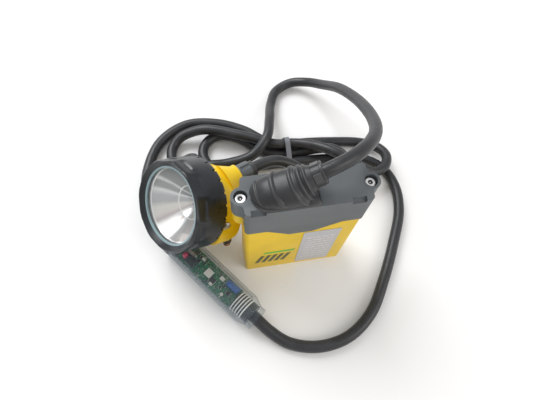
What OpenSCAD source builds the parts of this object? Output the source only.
// Corded miner's cap lamp: belt battery, inline charger module and headpiece.
// The pieces stand as they lie on a bench: battery upright, headpiece leaning on the module.

/* [Battery case] */
// Width of the battery case
case_w = 78; // [74:1:96]
// Depth of the battery case, front to back
case_d = 25; // [23:1:32]
// Height of the battery with its cover on
pack_h = 109; // [98:1:130]
// Wall thickness of the case
case_wall = 1.5; // [1.2:0.1:1.5]
// Vertical corner radius of the case
case_corner = 2.5; // [2:0.5:5]
// Height at which the cover's skirt starts at the two ends
skirt_z = 80; // [76:1:84]
// Height of the lowest part of the skirt, on the front and back
tongue_z = 70; // [66:1:75]

/* [Cover] */
// Wall thickness of the cover
cover_wall = 1.6; // [1.3:0.1:1.6]
// Thickness of the cover's top
cover_top = 3; // [2.4:0.1:4]
// How far the skirt stands proud of the case
cover_proud = 0.6; // [0.4:0.1:1.2]
// How far the middle of a screw ear stands beyond the cover's end
ear_out = 0.9; // [0.5:0.1:2]
// Radius of a screw ear
ear_r = 6; // [5:0.25:7]
// Height of an ear
ear_h = 16; // [12:1:18]
// Radius of the recess for a screw's head
recess_r = 4.2; // [3.6:0.1:4.6]
// Depth of the recess for a screw's head
recess_depth = 5; // [4:0.5:7]
// Radius of a cover screw's shank
screw_r = 1.6; // [1.2:0.1:2]
// Length of a cover screw's shank
screw_len = 19; // [14:1:22]

/* [Cells] */
// Diameter of one cell
cell_d = 18; // [16:0.2:18]
// Length of one cell
cell_len = 65; // [60:1:68]
// Number of cells side by side
cell_count = 4; // [4]
// Thickness of a cell tray
tray_t = 3; // [2:0.5:4]
// Diameter of the round window in a tray
tray_hole_d = 10; // [6:1:12]

/* [Belt loop] */
// Width of the belt loop
loop_w = 40; // [30:1:50]
// Height of the belt loop
loop_h = 60; // [50:1:64]
// Gap behind the loop that takes the belt
belt_gap = 5.5; // [4.5:0.5:8]
// Thickness of the loop's plate
loop_t = 3; // [2:0.5:4]
// Height of each foot of the loop
loop_foot = 7; // [6:0.5:9]

/* [Cord] */
// Diameter of the rubber cord
cord_d = 9; // [7:0.5:9]

/* [Charger module] */
// Outer diameter of the clear tube
tube_d = 24; // [22:1:26]
// Wall thickness of the clear tube
tube_wall = 1.8; // [1.4:0.1:2.4]
// Length of the module without its cord
module_len = 96; // [88:1:110]
// Length of the rear end cap
cap_len = 9; // [7:1:12]
// Length of the tube's cone
cone_len = 7; // [5:1:10]
// Radius of the nut at the cone's end
nut_r = 9.2; // [8:0.2:10]
// Length of the circuit board
board_len = 58; // [50:1:62]
// Width of the circuit board
board_w = 17; // [14:0.5:18]

/* [Headpiece] */
// Radius of the clear opening of the reflector
reflector_r = 26.7; // [25:0.1:27.5]
// Depth of the reflector
reflector_depth = 24; // [20:1:25]
// Outer radius of the bezel's front rim
bezel_front_r = 32.6; // [32:0.1:33.4]
// Outer radius of the bezel's rear rim
bezel_rear_r = 33.8; // [33:0.1:36]
// How far the bezel's rim stands in front of the reflector's rim
bezel_nose = 6.4; // [5.4:0.2:9]
// How far the bezel reaches behind the reflector's rim
bezel_skirt = 19.6; // [18:0.2:22]
// Outer radius of the housing behind the bezel
housing_r = 27; // [26:0.25:28.5]
// Length of the housing behind the reflector's rim
housing_len = 46; // [44:1:52]
// Wall thickness of the housing
housing_wall = 2.2; // [1.8:0.1:2.6]
// Radius of the switch knob
knob_r = 11; // [9:0.5:12]
// Height of the switch knob
knob_h = 9; // [7:0.5:11]
// Radius of the switch shaft
shaft_r = 3; // [2.5:0.1:4]
// Radial clearance of the shaft in its bush
shaft_gap = 0.06; // [0.03:0.01:0.1]

/* [Hidden] */
$fn = 48;

// Small clearances between neighbouring pieces
fit = 0.1;
slip = 0.2;
eps = 0.01;

// Cord
cord_r = cord_d / 2;
cord_sides = 12;
cord_hole_r = cord_r + fit;

// Battery, worked out
neck_w = case_w - 2 * (cover_wall - cover_proud + slip);
neck_d = case_d - 2 * (cover_wall - cover_proud + slip);
room_w = neck_w - 2 * case_wall;
room_d = neck_d - 2 * case_wall;
cover_w = case_w + 2 * cover_proud;
cover_d = case_d + 2 * cover_proud;
ear_x = cover_w / 2 + ear_out;
step_z = pack_h - recess_depth - 2;
gasket_h = 1;
neck_top = step_z - gasket_h - fit;
lug_top = pack_h - ear_h - fit;
lug_h = 12;
lug_r = ear_r - 0.5;
ear_fillet_r = 3;
ear_fillet_x = cover_w / 2 + ear_fillet_r;
ear_fillet_y = sqrt(pow(ear_r + ear_fillet_r, 2) - pow(ear_fillet_x - ear_x, 2));
floor_t = 2;
cell_pitch = cell_d + fit;
tray_z = floor_t + fit;
cell_z = tray_z + tray_t + fit;
link_t = 0.3;
top_tray_z = cell_z + cell_len + fit;
board_z = top_tray_z + tray_t + 3;
board_t = 1.6;

// Belt loop, worked out
loop_mid_z = 38;
loop_screw_x = loop_w / 2 - 6;
loop_screw_z = (loop_h - loop_foot) / 2;
loop_screw_r = 1.2;
loop_screw_head_r = 2.2;
loop_screw_head = 1.4;
loop_back = case_d / 2 + fit;

// Scoops in the front edge of the cover, one near each ear
scoop_x = [-31.5, 30];
scoop_w = 9;
scoop_r = 3;

// Boot on the cover
boot_base = [-14, -1.2, pack_h];
boot_len = 41;
boot_wide = 21;
boot_corner_r = 1.5;
boot_flange = 2.5;
boot_end = [8, 1, pack_h + 16];
boot_rise = 25;
boot_turn = 5;
boot_r = 6.8;
collar_len = 7;
collar_r = 7.2;

// Charger module, worked out
module_start = [-95, 21, tube_d / 2];
module_turn = -52.5;
tube_r = tube_d / 2;
tube_bore_r = tube_r - tube_wall;
tube_end = module_len - 5;
tube_cyl_end = tube_end - cone_len;
gland_len = 17;
gland_r = 8;
board_start = 15;
module_board_t = 1.6;
board_drop = 1.5;
board_fit_w = min(board_w, 2 * sqrt(pow(tube_bore_r - fit, 2) - pow(board_drop + module_board_t, 2)));
module_z = tube_d / 2;

// Headpiece, worked out
head_place = [-85, 23, 62];
head_tilt = 54;
head_turn = 205;
bezel_opening_r = reflector_r + 1.9;
bezel_lip_z = 3.6;
flat_count = 12;
notch_count = 24;
notch_w = 1.6;
notch_h = 3;
thread_r = 29.4;
seat_r = 28;
seat_z = -5;
thread_len = 15;
lens_t = 2.2;
gasket_t = 1.2;
lens_r = bezel_opening_r + 0.4;
throat_r = 4;
stage_r = 12;
stage_z = -reflector_depth * 0.62;
reflector_wall = 0.9;
star_z = -reflector_depth - 1.8;
star_t = 1.6;
sink_t = 5;
sink_r = housing_r - housing_wall - fit;
sink_z = star_z - sink_t - fit;
driver_z = sink_z - 6;
driver_r = 17;
rear_r = 18;
rear_z = -housing_len;
wing_y = 33;
wing_start = -42;
wing_end = -23;
contact_screw_at = [-6.5, 25.5, -25.5];
contact_screw_seat = 29.2;
contact_screw_r = 1.5;
contact_head_r = 3;
contact_at = [6, 28.2, -35.5];
contact_drop = 116;
contact_swing = 9;
contact_stem_r = 1.9;
contact_stem = 5.5;
contact_r = 2.9;
contact_len = 15.5;
knob_z = -37.5;
knob_seat = housing_r + 3;
bush_r = 6;
bush_len = 11.5;
gland_axis_turn = 212;
gland_at = [-19, 0, -41];
gland_boss_r = 9.5;
gland_boss_len = 9;
head_gland_r = 8.2;
head_gland_len = 10;
gland_nut_r = 6.6;
gland_nut_len = 4;
hook_w = 16;
hook_t = 1.5;
hook_gap = 3;
hook_back = 11;
hook_room = 12;

// Cord from the battery's boot, over the tied bundle, to the charger module
battery_cord_route = [
    [-3, 0, pack_h + 11], [8, 1, pack_h + 16], [30, 10, pack_h + 16], [53, 34, pack_h + 1],
    [65, 78, pack_h - 28], [64, 124, 49],
    [58, 150, 26], [48, 166, 13], [33, 172, 7], [17, 165, 5], [8, 146, 8], [2, 120, 19],
    [-5, 97, 24], [-20, 84, 18], [-42, 80.5, 15], [-58, 80.5, 15], [-71, 81.5, 10], [-81, 84, 7],
    [-88, 91.5, 5], [-90.5, 101, 5], [-88, 111, 5.5], [-81, 118, 8], [-71, 120.5, 11], [-60, 120, 14],
    [-48, 117, 15], [-20, 106, 15], [4, 95.6, 14.6], [19, 94.6, 14.6], [30, 90.5, 17.5], [42, 81, 24],
    [53, 71.5, 27], [64, 62.5, 26], [75, 56, 22], [86, 53.5, 17],
    [98, 59, 15], [104, 72, 12], [99, 86, 7], [85, 93.5, 5], [60, 97.5, 5], [34, 99.8, 5], [8, 99.6, 6],
    [-5, 107, 5], [-22, 121, 5], [-46, 132, 5], [-74, 134, 5], [-99, 118, 5], [-112, 88, 5],
    [-113, 58, 6], [-107, 39, module_z - 1], [-98, 25, module_z], [-92, 17, module_z]
];

// Cord from the charger module, round the right side and the bundle, to the headpiece
head_cord_route = [
    [-43, -47, module_z], [-36, -56, module_z], [-28, -65, module_z - 3], [-15, -75, 5],
    [6, -81, 5], [30, -78, 5],
    [52, -64, 5], [70, -40, 5], [88, -10, 5], [102, 18, 5], [106, 42, 5], [100, 62, 5],
    [84, 75, 5], [58, 79, 5], [24, 80, 6], [2, 80, 6], [-34, 79.5, 5], [-43, 80, 5],
    [-53, 83, 5], [-60, 90, 5], [-62.5, 99, 5], [-60, 108.5, 5], [-53, 115.5, 5], [-43, 118, 5],
    [-27, 112, 5], [-11, 98, 5], [4, 90, 6], [24, 89.6, 6], [43, 87.5, 12], [54, 84, 15],
    [62, 77, 15], [65, 66.5, 15],
    [62, 55.5, 15], [54, 47.5, 17], [43, 45, 20], [26, 49, 30], [8, 56.5, 42], [-6, 57.5, 49],
    [-19, 53.8, 51.3], [-34, 46.8, 52.4]
];

// Strands that the tie holds: three side by side and one on top
tie_x = 14;
tie_strands = [[80, 6], [89.7, 6], [99.5, 6], [94.8, 14.6]];
tie_w = 4.5;
tie_t = 1;
tie_slack = 0.4;

// ---------- shapes that repeat ----------

// Upright block with round vertical edges
module rounded_block(width, depth, height, radius) {
    linear_extrude(height) {
        square([width - 2 * radius, depth], center = true);
        square([width, depth - 2 * radius], center = true);
        for (x = [-1, 1], y = [-1, 1])
            translate([x * (width / 2 - radius), y * (depth / 2 - radius)]) circle(radius);
    }
}

// Ring round the Z axis
module ring(outer_r, inner_r, height) {
    difference() {
        cylinder(r = outer_r, h = height);
        translate([0, 0, -eps]) cylinder(r = inner_r, h = height + 2 * eps);
    }
}

// A place at each end of the battery
module at_ears() {
    for (side = [-1, 1]) translate([side * ear_x, 0, 0]) children();
}

module at_module() {
    translate(module_start) rotate([0, 90, module_turn]) children();
}

module at_head() {
    translate(head_place) rotate([0, head_tilt, head_turn]) children();
}

module at_gland() {
    translate(gland_at) rotate([0, gland_axis_turn, 0]) children();
}

module at_knob() {
    translate([0, 0, knob_z]) rotate([90, 0, 0]) children();
}

// Unit vectors and a tube swept along a list of points
function unit(v) = v / norm(v);
function route_way(route, i) = i == 0 ? unit(route[1] - route[0])
    : i == len(route) - 1 ? unit(route[i] - route[i - 1])
    : unit(unit(route[i] - route[i - 1]) + unit(route[i + 1] - route[i]));
function flat_side(way) = unit(cross(way, [0, 0, 1]));
function ring_points(centre, way, radius, sides) = [
    for (k = [0 : sides - 1])
        let (a = 360 * k / sides, side = flat_side(way), up = cross(side, way))
            centre + radius * (cos(a) * side + sin(a) * up)
];
function tube_points(route, radius, sides) = [
    for (i = [0 : len(route) - 1])
        each ring_points(route[i], route_way(route, i), radius, sides)
];
function tube_walls(rings, sides) = [
    for (i = [0 : rings - 2], k = [0 : sides - 1])
        [i * sides + k, i * sides + (k + 1) % sides,
         (i + 1) * sides + (k + 1) % sides, (i + 1) * sides + k]
];

module swept_tube(route, radius, sides) {
    last = len(route) - 1;
    start_cap = [[for (k = [sides - 1 : -1 : 0]) k]];
    end_cap = [[for (k = [0 : sides - 1]) last * sides + k]];
    polyhedron(tube_points(route, radius, sides),
               concat(start_cap, end_cap, tube_walls(len(route), sides)));
}

// ---------- battery ----------

module battery_case() {
    color("gold") difference() {
        union() {
            rounded_block(case_w, case_d, tongue_z - slip, case_corner);
            rounded_block(neck_w, neck_d, neck_top, case_corner);
            case_shoulder();
            at_ears() translate([0, 0, lug_top - lug_h]) cylinder(r = lug_r, h = lug_h);
        }
        translate([0, 0, floor_t])
            rounded_block(room_w, room_d, pack_h, case_corner - 1);
        at_ears() translate([0, 0, lug_top - lug_h - eps]) cylinder(r = screw_r + fit, h = lug_h + 1);
        belt_loop_holes();
    }
}

// The case stays full size up to the ends of the skirt
module case_shoulder() {
    difference() {
        rounded_block(case_w, case_d, skirt_z - slip, case_corner);
        translate([0, 0, tongue_z - slip]) skirt_tongue(case_d + 2, slip);
    }
}

// The skirt's deeper middle, seen from the front
module skirt_tongue(depth, grow) {
    rise = skirt_z - tongue_z;
    low_half = 6;
    high_half = 27;
    translate([0, depth / 2, 0]) rotate([90, 0, 0]) linear_extrude(depth)
        polygon([[-low_half - 4 - grow, 0], [low_half + grow, 0],
                 [high_half + grow, rise + 1], [-high_half - grow, rise + 1]]);
}

module belt_loop_holes() {
    for (x = [-1, 1], z = [-1, 1])
        translate([x * loop_screw_x, case_d / 2 + 1, loop_mid_z + z * loop_screw_z])
            rotate([90, 0, 0]) cylinder(r = loop_screw_r + fit, h = 4.5);
}

module battery_cover() {
    color("dimgray") difference() {
        union() {
            translate([0, 0, skirt_z]) rounded_block(cover_w, cover_d, pack_h - skirt_z, case_corner);
            intersection() {
                translate([0, 0, tongue_z]) rounded_block(cover_w, cover_d, 20, case_corner);
                translate([0, 0, tongue_z]) skirt_tongue(cover_d + 1, 0);
            }
            at_ears() translate([0, 0, pack_h - ear_h]) cylinder(r = ear_r, h = ear_h);
            translate([0, 0, pack_h - ear_h]) ear_fillets(ear_h);
        }
        translate([0, 0, tongue_z - 1])
            rounded_block(neck_w + 2 * slip, neck_d + 2 * slip, step_z - tongue_z + 1, case_corner);
        translate([0, 0, step_z - 1])
            rounded_block(2 * (ear_x - recess_r - cover_wall), room_d,
                          pack_h - cover_top - step_z + 1, case_corner - 1);
        at_ears() translate([0, 0, skirt_z - 1]) cylinder(r = lug_r + slip, h = lug_top - skirt_z + 1 + fit);
        at_ears() translate([0, 0, pack_h - ear_h - eps]) cylinder(r = screw_r + fit, h = ear_h + 1);
        at_ears() translate([0, 0, pack_h - recess_depth]) cylinder(r = recess_r, h = recess_depth + 1);
        for (x = scoop_x)
            translate([x, -cover_d / 2, pack_h]) rotate([0, 90, 0])
                cylinder(r = scoop_r, h = scoop_w, center = true);
        translate([boot_base[0], boot_base[1], pack_h - 0.8])
            boot_outline(fit, 2);
        translate([boot_base[0], boot_base[1], pack_h - cover_top - 1]) cylinder(r = 5, h = cover_top + 2);
    }
}

// Concave corners where an ear meets the cover's end
module ear_fillets(height) {
    share = ear_r / (ear_r + ear_fillet_r);
    touch_x = ear_x + (ear_fillet_x - ear_x) * share;
    for (side = [-1, 1], y = [-1, 1]) scale([side, y, 1]) linear_extrude(height) difference() {
        polygon([[ear_x - ear_r, 0], [ear_x, 0], [touch_x, ear_fillet_y * share],
                 [ear_fillet_x, ear_fillet_y], [ear_x - ear_r, ear_fillet_y]]);
        translate([ear_fillet_x, ear_fillet_y]) circle(ear_fillet_r);
    }
}

module cover_gasket() {
    color("black") translate([0, 0, neck_top + fit / 2]) difference() {
        rounded_block(neck_w, neck_d, gasket_h, case_corner);
        translate([0, 0, -1])
            rounded_block(room_w, room_d, gasket_h + 2, case_corner - 1);
    }
}

// Tamper-proof screws: a ring-shaped head with a sunk middle
module cover_screws() {
    head_h = 2.6;
    color("silver") at_ears() translate([0, 0, pack_h - recess_depth + fit / 2]) difference() {
        union() {
            cylinder(r = recess_r - 0.7, h = head_h);
            translate([0, 0, -screw_len]) cylinder(r = screw_r, h = screw_len + eps);
        }
        translate([0, 0, head_h - 1.2]) cylinder(r = 1.5, h = 2);
    }
}

module cell(index) {
    x = (index - (cell_count + 1) / 2) * cell_pitch;
    color("mediumseagreen") translate([x, 0, cell_z]) {
        cylinder(d = cell_d, h = cell_len - 1);
        cylinder(d = cell_d * 0.4, h = cell_len);
    }
}
module cell_1() { cell(1); }
module cell_2() { cell(2); }
module cell_3() { cell(3); }
module cell_4() { cell(4); }

module cell_tray(z) {
    color("ivory") translate([0, 0, z]) difference() {
        rounded_block(room_w - 2 * slip, room_d - 2 * slip, tray_t, case_corner - 1.5);
        for (i = [1 : cell_count])
            translate([(i - (cell_count + 1) / 2) * cell_pitch, 0, -1])
                cylinder(d = tray_hole_d, h = tray_t + 2);
    }
}
module cell_tray_bottom() { cell_tray(tray_z); }
module cell_tray_top() { cell_tray(top_tray_z); }

// Nickel links that join neighbouring cells through the tray's windows
module cell_links() {
    color("silver") for (side = [-1, 1])
        translate([side * cell_pitch, 0, top_tray_z + tray_t + fit])
            rounded_block(cell_pitch + 8, 8, link_t, 2);
}

module protection_board() {
    color("darkgreen") translate([0, 0, board_z])
        rounded_block(room_w - 6, room_d - 3, board_t, 2);
}

module board_parts() {
    color("dimgray") translate([0, 0, board_z + board_t + eps]) {
        for (x = [-24, -16, -8]) translate([x - 2.5, -3, 0]) cube([5, 6, 1.8]);
        translate([8, -4, 0]) cube([8, 8, 2.4]);
        translate([24, 0, 0]) cylinder(r = 2.5, h = 5);
    }
}

module belt_loop() {
    color("black") translate([0, loop_back, loop_mid_z]) difference() {
        union() {
            translate([-loop_w / 2, belt_gap, -loop_h / 2]) cube([loop_w, loop_t, loop_h]);
            for (z = [-loop_h / 2, loop_h / 2 - loop_foot])
                translate([-loop_w / 2, 0, z]) cube([loop_w, belt_gap + eps, loop_foot]);
        }
        for (x = [-1, 1], z = [-1, 1])
            translate([x * loop_screw_x, 20, z * loop_screw_z]) rotate([90, 0, 0]) {
                cylinder(r = loop_screw_r + fit, h = 30);
                cylinder(r = loop_screw_head_r + slip, h = 20 - belt_gap - loop_t + loop_screw_head + slip);
            }
    }
}

module belt_loop_screws() {
    color("silver") for (x = [-1, 1], z = [-1, 1])
        translate([x * loop_screw_x, loop_back + belt_gap + loop_t, loop_mid_z + z * loop_screw_z])
            rotate([90, 0, 0]) {
                cylinder(r = loop_screw_head_r, h = loop_screw_head);
                cylinder(r = loop_screw_r, h = belt_gap + loop_t + 1.5);
            }
}

module rating_plate() {
    color("silver") translate([1, -case_d / 2 - 0.35, 4]) cube([27, 0.3, 63]);
}

module front_badge() {
    color("olivedrab") translate([-18, -case_d / 2 - eps, 32]) rotate([90, 0, 0])
        rounded_block(26, 9, 0.5, 4);
}

// ---------- cord boot ----------

module at_boot_end() {
    translate(boot_end) rotate([0, 90 - boot_rise, boot_turn]) children();
}

// The flange is round at one end and nearly square at the other
module boot_outline(grow, height) {
    end_r = boot_wide / 2;
    square_x = boot_len / 2 - boot_corner_r;
    linear_extrude(height) {
        translate([end_r - boot_len / 2, 0]) circle(end_r + grow);
        polygon([[end_r - boot_len / 2, -end_r - grow], [square_x, -end_r - grow],
                 [square_x + boot_corner_r + grow, boot_corner_r - end_r],
                 [square_x + boot_corner_r + grow, end_r - boot_corner_r],
                 [square_x, end_r + grow], [end_r - boot_len / 2, end_r + grow]]);
    }
}

module cable_boot() {
    color("black") difference() {
        union() {
            translate([boot_base[0], boot_base[1], pack_h - 0.7]) boot_outline(0, boot_flange);
            hull() {
                translate([-21, -1.2, pack_h + 1]) cylinder(r = 10, h = 1, $fn = 32);
                translate([-16, -1, pack_h + 8.5]) sphere(r = 8, $fn = 32);
                translate([-8, -1, pack_h + 1]) cylinder(r = 7.5, h = 1, $fn = 32);
                at_boot_end() translate([0, 0, -collar_len - 6]) cylinder(r = boot_r, h = 5, $fn = 32);
            }
        }
        at_boot_end() translate([0, 0, -22]) cylinder(r = cord_hole_r, h = 30);
    }
}

module boot_collar() {
    color("dimgray") at_boot_end() translate([0, 0, -collar_len]) difference() {
        ring(collar_r, cord_hole_r, collar_len);
        for (a = [0 : 60 : 359])
            rotate([0, 0, a]) translate([collar_r - 0.8, -1, -1]) cube([2, 2, collar_len - 1]);
    }
}

// ---------- charger module ----------

module module_tube() {
    color("powderblue", 0.4) at_module() rotate_extrude()
        polygon([[tube_bore_r, cap_len + slip], [tube_r, cap_len + slip], [tube_r, tube_cyl_end],
                 [nut_r, tube_end], [gland_r + fit, tube_end], [gland_r + fit, tube_end - cone_len],
                 [tube_bore_r, tube_cyl_end - 2]]);
}

module module_rear_cap() {
    color("dimgray") at_module() difference() {
        union() {
            translate([0, 0, 3]) cylinder(r = tube_r, h = cap_len - 3);
            cylinder(r = nut_r, h = cap_len);
            translate([0, 0, cap_len - eps]) cylinder(r = tube_bore_r - fit, h = 5);
        }
        translate([0, 0, -1]) cylinder(r = cord_hole_r, h = cap_len + 8);
        translate([0, 0, cap_len + 2]) ring(tube_bore_r + 1, tube_bore_r - 1.1, 1.6);
    }
}

module module_rear_seal() {
    color("black") at_module() translate([0, 0, cap_len + 2.1]) ring(tube_bore_r - eps, tube_bore_r - 1, 1.4);
}

module module_gland() {
    color("black") at_module() difference() {
        union() {
            translate([0, 0, tube_end - gland_len]) cylinder(r = gland_r, h = gland_len);
            for (i = [0 : 3])
                translate([0, 0, tube_end - gland_len + 1 + 2 * i]) cylinder(r = gland_r + 1, h = 1);
        }
        translate([0, 0, tube_end - gland_len - 1]) cylinder(r = cord_hole_r, h = gland_len + 2);
    }
}

module module_nut() {
    color("dimgray") at_module() translate([0, 0, tube_end + fit]) difference() {
        ring(nut_r, cord_hole_r, 5 - fit);
        for (a = [0 : 45 : 359])
            rotate([0, 0, a]) translate([nut_r - 0.7, -0.8, -1]) cube([2, 1.6, 4]);
    }
}

// Faces up when the module lies down: its top is the side of negative X
module on_board(z, y) {
    translate([board_drop, y, board_start + z]) rotate([0, -90, 0]) children();
}

module module_board() {
    color("darkgreen") at_module()
        translate([board_drop, -board_fit_w / 2, board_start]) cube([module_board_t, board_fit_w, board_len]);
}

module module_chips() {
    color("whitesmoke") at_module() {
        on_board(29, 0) translate([-3, -3, 0]) cube([6, 6, 1.4]);
        on_board(40, 4) translate([-2, -1.5, 0]) cube([4, 3, 1.2]);
        on_board(18, 5) translate([-1.5, -1, 0]) cube([3, 2, 1]);
        on_board(48, -5) cylinder(r = 1.3, h = 1.6);
        on_board(36, -5) translate([-1.5, -1, 0]) cube([3, 2, 1]);
    }
}

module module_diode() {
    color("crimson") at_module() on_board(6, -3) cylinder(r = 2.4, h = 6);
}

module module_capacitor() {
    color("steelblue") at_module() translate([-1.7, 5, board_start + 45]) cylinder(r = 2.8, h = 12);
}

module module_inductor() {
    color("black") at_module() on_board(13, -3) translate([-4, -4, 0]) cube([8, 7, 5.5]);
}

// ---------- headpiece ----------

module head_housing() {
    color("gold") at_head() difference() {
        union() {
            rotate_extrude()
                polygon([[0, rear_z], [rear_r, rear_z], [housing_r - 3, rear_z + 4], [housing_r, rear_z + 12],
                         [housing_r, -bezel_skirt + 1], [thread_r, -thread_len - 2], [thread_r, -2],
                         [0, -2]]);
            wing();
            at_gland() cylinder(r = gland_boss_r, h = gland_boss_len);
            at_gland() translate([0, 0, -3])
                cylinder(r1 = gland_boss_r + 5, r2 = gland_boss_r, h = gland_boss_len);
            at_knob() translate([0, 0, 10]) cylinder(r = bush_r + 3, h = knob_seat - 10);
        }
        rotate_extrude()
            polygon([[0, rear_z + housing_wall], [rear_r - 1, rear_z + housing_wall],
                     [housing_r - 3 - housing_wall, rear_z + 6], [housing_r - housing_wall, rear_z + 13],
                     [housing_r - housing_wall, seat_z], [seat_r, seat_z], [seat_r, 0], [0, 0]]);
        at_gland() translate([0, 0, -3]) cylinder(r = cord_hole_r + 1, h = gland_boss_len + 4);
        at_knob() cylinder(r = bush_r, h = knob_seat + 1);
        hook_seat();
        for (x = [-6, 6])
            translate([x, 0, rear_z - 1]) cylinder(r = 1.3, h = 6);
        translate(contact_screw_at) rotate([-90, 0, 0]) cylinder(r = contact_screw_r + fit, h = 12);
        translate([contact_screw_at[0], contact_screw_seat, contact_screw_at[2]])
            rotate([-90, 0, 0]) cylinder(r = contact_head_r + slip, h = 6);
        at_contact() translate([0, 0, -fit]) cylinder(r = contact_stem_r + fit, h = contact_len);
    }
}

// Room for the hook behind the housing, clear of the gland's boss
module hook_seat() {
    translate([-hook_back - slip, -hook_w / 2 - slip, rear_z - hook_room])
        cube([hook_back + 40, hook_w + 2 * slip, hook_room]);
}

// Side lobe that carries the two charging contacts
module wing() {
    difference() {
        intersection() {
            translate([0, 0, wing_start]) linear_extrude(wing_end - wing_start)
                polygon([[-17, 18], [-13, 25.5], [-9, 28.2], [-5, 29.4], [0, 31.4], [6, wing_y], [11, wing_y],
                         [14, 31.6], [16, 28.5], [18, 16]]);
            translate([0, wing_y + 1, 0]) rotate([90, 0, 0]) linear_extrude(wing_y)
                polygon([[-18, wing_end], [-18, wing_start + 6], [-14, wing_start + 1.5], [-8, wing_start],
                         [4, wing_start], [7, wing_start + 1.4], [14, wing_start + 9.4], [18.5, wing_end]]);
        }
        cylinder(r = housing_r - 1, h = 100, center = true);
    }
}

module at_contact() {
    translate(contact_at) rotate([0, contact_drop, contact_swing]) children();
}

module bezel() {
    color("black") at_head() difference() {
        intersection() {
            rotate_extrude()
                polygon([[thread_r + fit, -bezel_skirt], [bezel_rear_r, -bezel_skirt],
                         [bezel_rear_r, -bezel_skirt + 4], [bezel_front_r + 0.6, 1],
                         [bezel_front_r, bezel_nose - 1],
                         [bezel_front_r - 1, bezel_nose], [bezel_opening_r + 2.4, bezel_nose],
                         [bezel_opening_r - 0.6, bezel_lip_z], [lens_r + fit, bezel_lip_z - fit],
                         [lens_r + fit, -1], [thread_r + fit, -1.5]]);
            union() {
                translate([0, 0, -2])
                    cylinder(r = bezel_front_r / cos(180 / flat_count) - 0.5, h = 20, $fn = flat_count);
                translate([0, 0, -bezel_skirt - 1]) cylinder(r = bezel_rear_r + 1, h = bezel_skirt - 1);
            }
        }
        for (i = [0 : notch_count - 1])
            rotate([0, 0, i * 360 / notch_count])
                translate([bezel_rear_r - 1.2, -notch_w / 2, -bezel_skirt - 1])
                    cube([3, notch_w, notch_h + 1]);
    }
}

module bezel_seal() {
    color("black") at_head() translate([0, 0, -2 + fit / 2]) ring(lens_r - fit, seat_r + fit, 0.8);
}

module lens() {
    color("lightcyan", 0.3) at_head() translate([0, 0, 0.1]) cylinder(r = lens_r, h = lens_t);
}

module lens_gasket() {
    color("cadetblue") at_head() translate([0, 0, lens_t + 0.12])
        ring(lens_r - fit, reflector_r, gasket_t - fit);
}

// Depth of the main bowl at a given radius
function bowl_share(r) = (r * r - stage_r * stage_r) / (reflector_r * reflector_r - stage_r * stage_r);
function bowl_z(r) = stage_z * (1 - bowl_share(r));

module reflector() {
    steps = 10;
    radii = [for (i = [0 : steps]) stage_r + (reflector_r - stage_r) * i / steps];
    back = reflector_wall * 1.4;
    outer = [for (r = radii) [r, bowl_z(r)]];
    inner = [for (i = [steps : -1 : 0]) [radii[i] + reflector_wall / 2, bowl_z(radii[i]) - back]];
    color("gainsboro") at_head() rotate_extrude()
        polygon(concat([[throat_r, -reflector_depth]], outer, [[seat_r - fit, 0]],
                       [[seat_r - fit, seat_z + fit / 2]], [[reflector_r + 0.6, seat_z + fit / 2]],
                       [[reflector_r + 0.6, bowl_z(reflector_r) - back]], inner,
                       [[throat_r + reflector_wall, -reflector_depth - fit]],
                       [[throat_r, -reflector_depth - fit]]));
}

module led_board() {
    color("whitesmoke") at_head() translate([0, 0, star_z]) cylinder(r = 10, h = star_t);
}

module led_emitter() {
    color("khaki") at_head() translate([0, 0, star_z + star_t]) {
        translate([-1.8, -1.8, 0]) cube([3.6, 3.6, 0.7]);
        cylinder(r = 1.6, h = 1.8);
    }
}

module heat_sink() {
    color("silver") at_head() translate([0, 0, sink_z]) difference() {
        cylinder(r = sink_r, h = sink_t);
        for (a = [0 : 30 : 359])
            rotate([0, 0, a]) translate([sink_r - 4, -0.8, -1]) cube([5, 1.6, 4]);
    }
}

module driver_board() {
    color("darkgreen") at_head() translate([0, 0, driver_z]) cylinder(r = driver_r, h = 1.4);
}

module driver_parts() {
    color("dimgray") at_head() translate([0, 0, driver_z + 1.4 + eps]) {
        translate([-7, -3, 0]) cube([6, 6, 1.8]);
        translate([3, 2, 0]) cylinder(r = 3, h = 3.2);
        translate([2, -8, 0]) cube([5, 4, 1.5]);
    }
}

module switch_bush() {
    color("goldenrod") at_head() at_knob() translate([0, 0, knob_seat - bush_len])
        ring(bush_r - fit, shaft_r + shaft_gap, bush_len);
}

module switch_seal() {
    color("black") at_head() at_knob() translate([0, 0, knob_seat + fit / 2])
        ring(bush_r + 1, shaft_r + 0.3, 0.9);
}

module switch_shaft() {
    color("silver") at_head() at_knob() translate([0, 0, knob_seat - bush_len])
        cylinder(r = shaft_r, h = bush_len + 1.5);
}

module switch_knob() {
    color("black") at_head() at_knob() translate([0, 0, knob_seat + 1.3]) difference() {
        union() {
            rotate_extrude()
                polygon([[0, 0], [knob_r, 0], [knob_r, 3], [knob_r - 1.5, knob_h - 1],
                         [knob_r - 2.5, knob_h], [0, knob_h]]);
            translate([-1.5, 0, knob_h - 1]) cube([3, knob_r - 2.8, 2]);
        }
        for (a = [0 : 30 : 359])
            rotate([0, 0, a]) translate([knob_r + 0.6, 0, -1]) cylinder(r = 1.4, h = knob_h + 4);
        translate([0, 0, -1]) cylinder(r = shaft_r, h = 1 + 0.2);
    }
}

module contact_screw() {
    reach = contact_screw_seat - contact_screw_at[1] + fit;
    color("silver") at_head() translate(contact_screw_at) rotate([-90, 0, 0]) {
        cylinder(r = contact_screw_r, h = reach);
        translate([0, 0, reach]) difference() {
            cylinder(r = contact_head_r, h = 1.8);
            translate([-4, -0.4, 0.9]) cube([8, 0.8, 2]);
        }
    }
}

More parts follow.
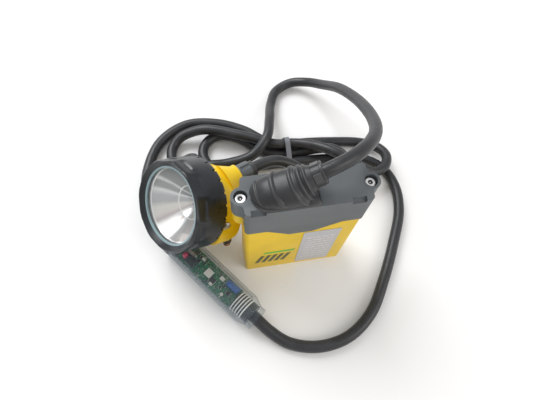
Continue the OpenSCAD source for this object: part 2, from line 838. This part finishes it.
module contact_post() {
    color("peru") at_head() at_contact() {
        cylinder(r = contact_stem_r, h = contact_stem + eps);
        translate([0, 0, contact_stem]) cylinder(r = contact_r, h = contact_len - contact_stem);
    }
}

module contact_collar() {
    color("black") at_head() at_contact() translate([0, 0, contact_stem + fit])
        ring(contact_r + 0.7, contact_r + fit, 6);
}

module head_gland() {
    color("dimgray") at_head() at_gland() translate([0, 0, gland_boss_len + fit]) difference() {
        ring(head_gland_r, cord_hole_r, head_gland_len);
        for (a = [0 : 60 : 359])
            rotate([0, 0, a]) translate([head_gland_r + 0.6, 0, 2]) cylinder(r = 2, h = head_gland_len);
    }
}

module gland_nut() {
    color("black") at_head() at_gland() translate([0, 0, gland_boss_len + head_gland_len + 2 * fit])
        ring(gland_nut_r, cord_hole_r, gland_nut_len);
}

// Steel hook that slips behind the helmet's bracket
module helmet_hook() {
    step = hook_gap + hook_t;
    color("silver") at_head() difference() {
        translate([0, hook_w / 2, rear_z - fit]) rotate([90, 0, 0]) linear_extrude(hook_w)
            polygon([[-hook_back, 0], [10, 0], [13, -hook_gap], [27, -hook_gap], [29, -hook_gap + 1],
                     [30, -hook_gap], [28, -step], [12, -step], [9, -hook_t], [-hook_back, -hook_t]]);
        for (x = [-6, 6])
            translate([x, 0, rear_z - 3]) cylinder(r = 1.3, h = 4);
    }
}

module hook_screws() {
    color("gray") at_head() for (x = [-6, 6]) translate([x, 0, rear_z - fit - hook_t]) {
        translate([0, 0, -1.6]) cylinder(r = 2.4, h = 1.6 - fit);
        translate([0, 0, -0.2]) cylinder(r = 1.2, h = 5.5);
    }
}

// ---------- cords ----------

module cord_battery_to_module() {
    color("black") swept_tube(battery_cord_route, cord_r, cord_sides);
}

module cord_module_to_head() {
    color("black") swept_tube(head_cord_route, cord_r, cord_sides);
}

// Band round the tied bundle of cord
module tie_outline(radius) {
    hull() for (strand = tie_strands) translate(strand) circle(radius, $fn = 32);
}

module cord_tie() {
    inner_r = cord_r + tie_slack;
    color("black") translate([tie_x - tie_w / 2, 0, 0]) rotate([90, 0, 90]) linear_extrude(tie_w)
        difference() {
            tie_outline(inner_r + tie_t);
            tie_outline(inner_r);
        }
}

battery_case();
battery_cover();
cover_gasket();
cover_screws();
cell_1();
cell_2();
cell_3();
cell_4();
cell_tray_bottom();
cell_tray_top();
cell_links();
protection_board();
board_parts();
belt_loop();
belt_loop_screws();
rating_plate();
front_badge();
cable_boot();
boot_collar();
module_tube();
module_rear_cap();
module_rear_seal();
module_gland();
module_nut();
module_board();
module_chips();
module_diode();
module_capacitor();
module_inductor();
head_housing();
bezel();
bezel_seal();
lens();
lens_gasket();
reflector();
led_board();
led_emitter();
heat_sink();
driver_board();
driver_parts();
switch_knob();
switch_shaft();
switch_seal();
switch_bush();
contact_screw();
contact_post();
contact_collar();
head_gland();
gland_nut();
helmet_hook();
hook_screws();
cord_battery_to_module();
cord_module_to_head();
cord_tie();
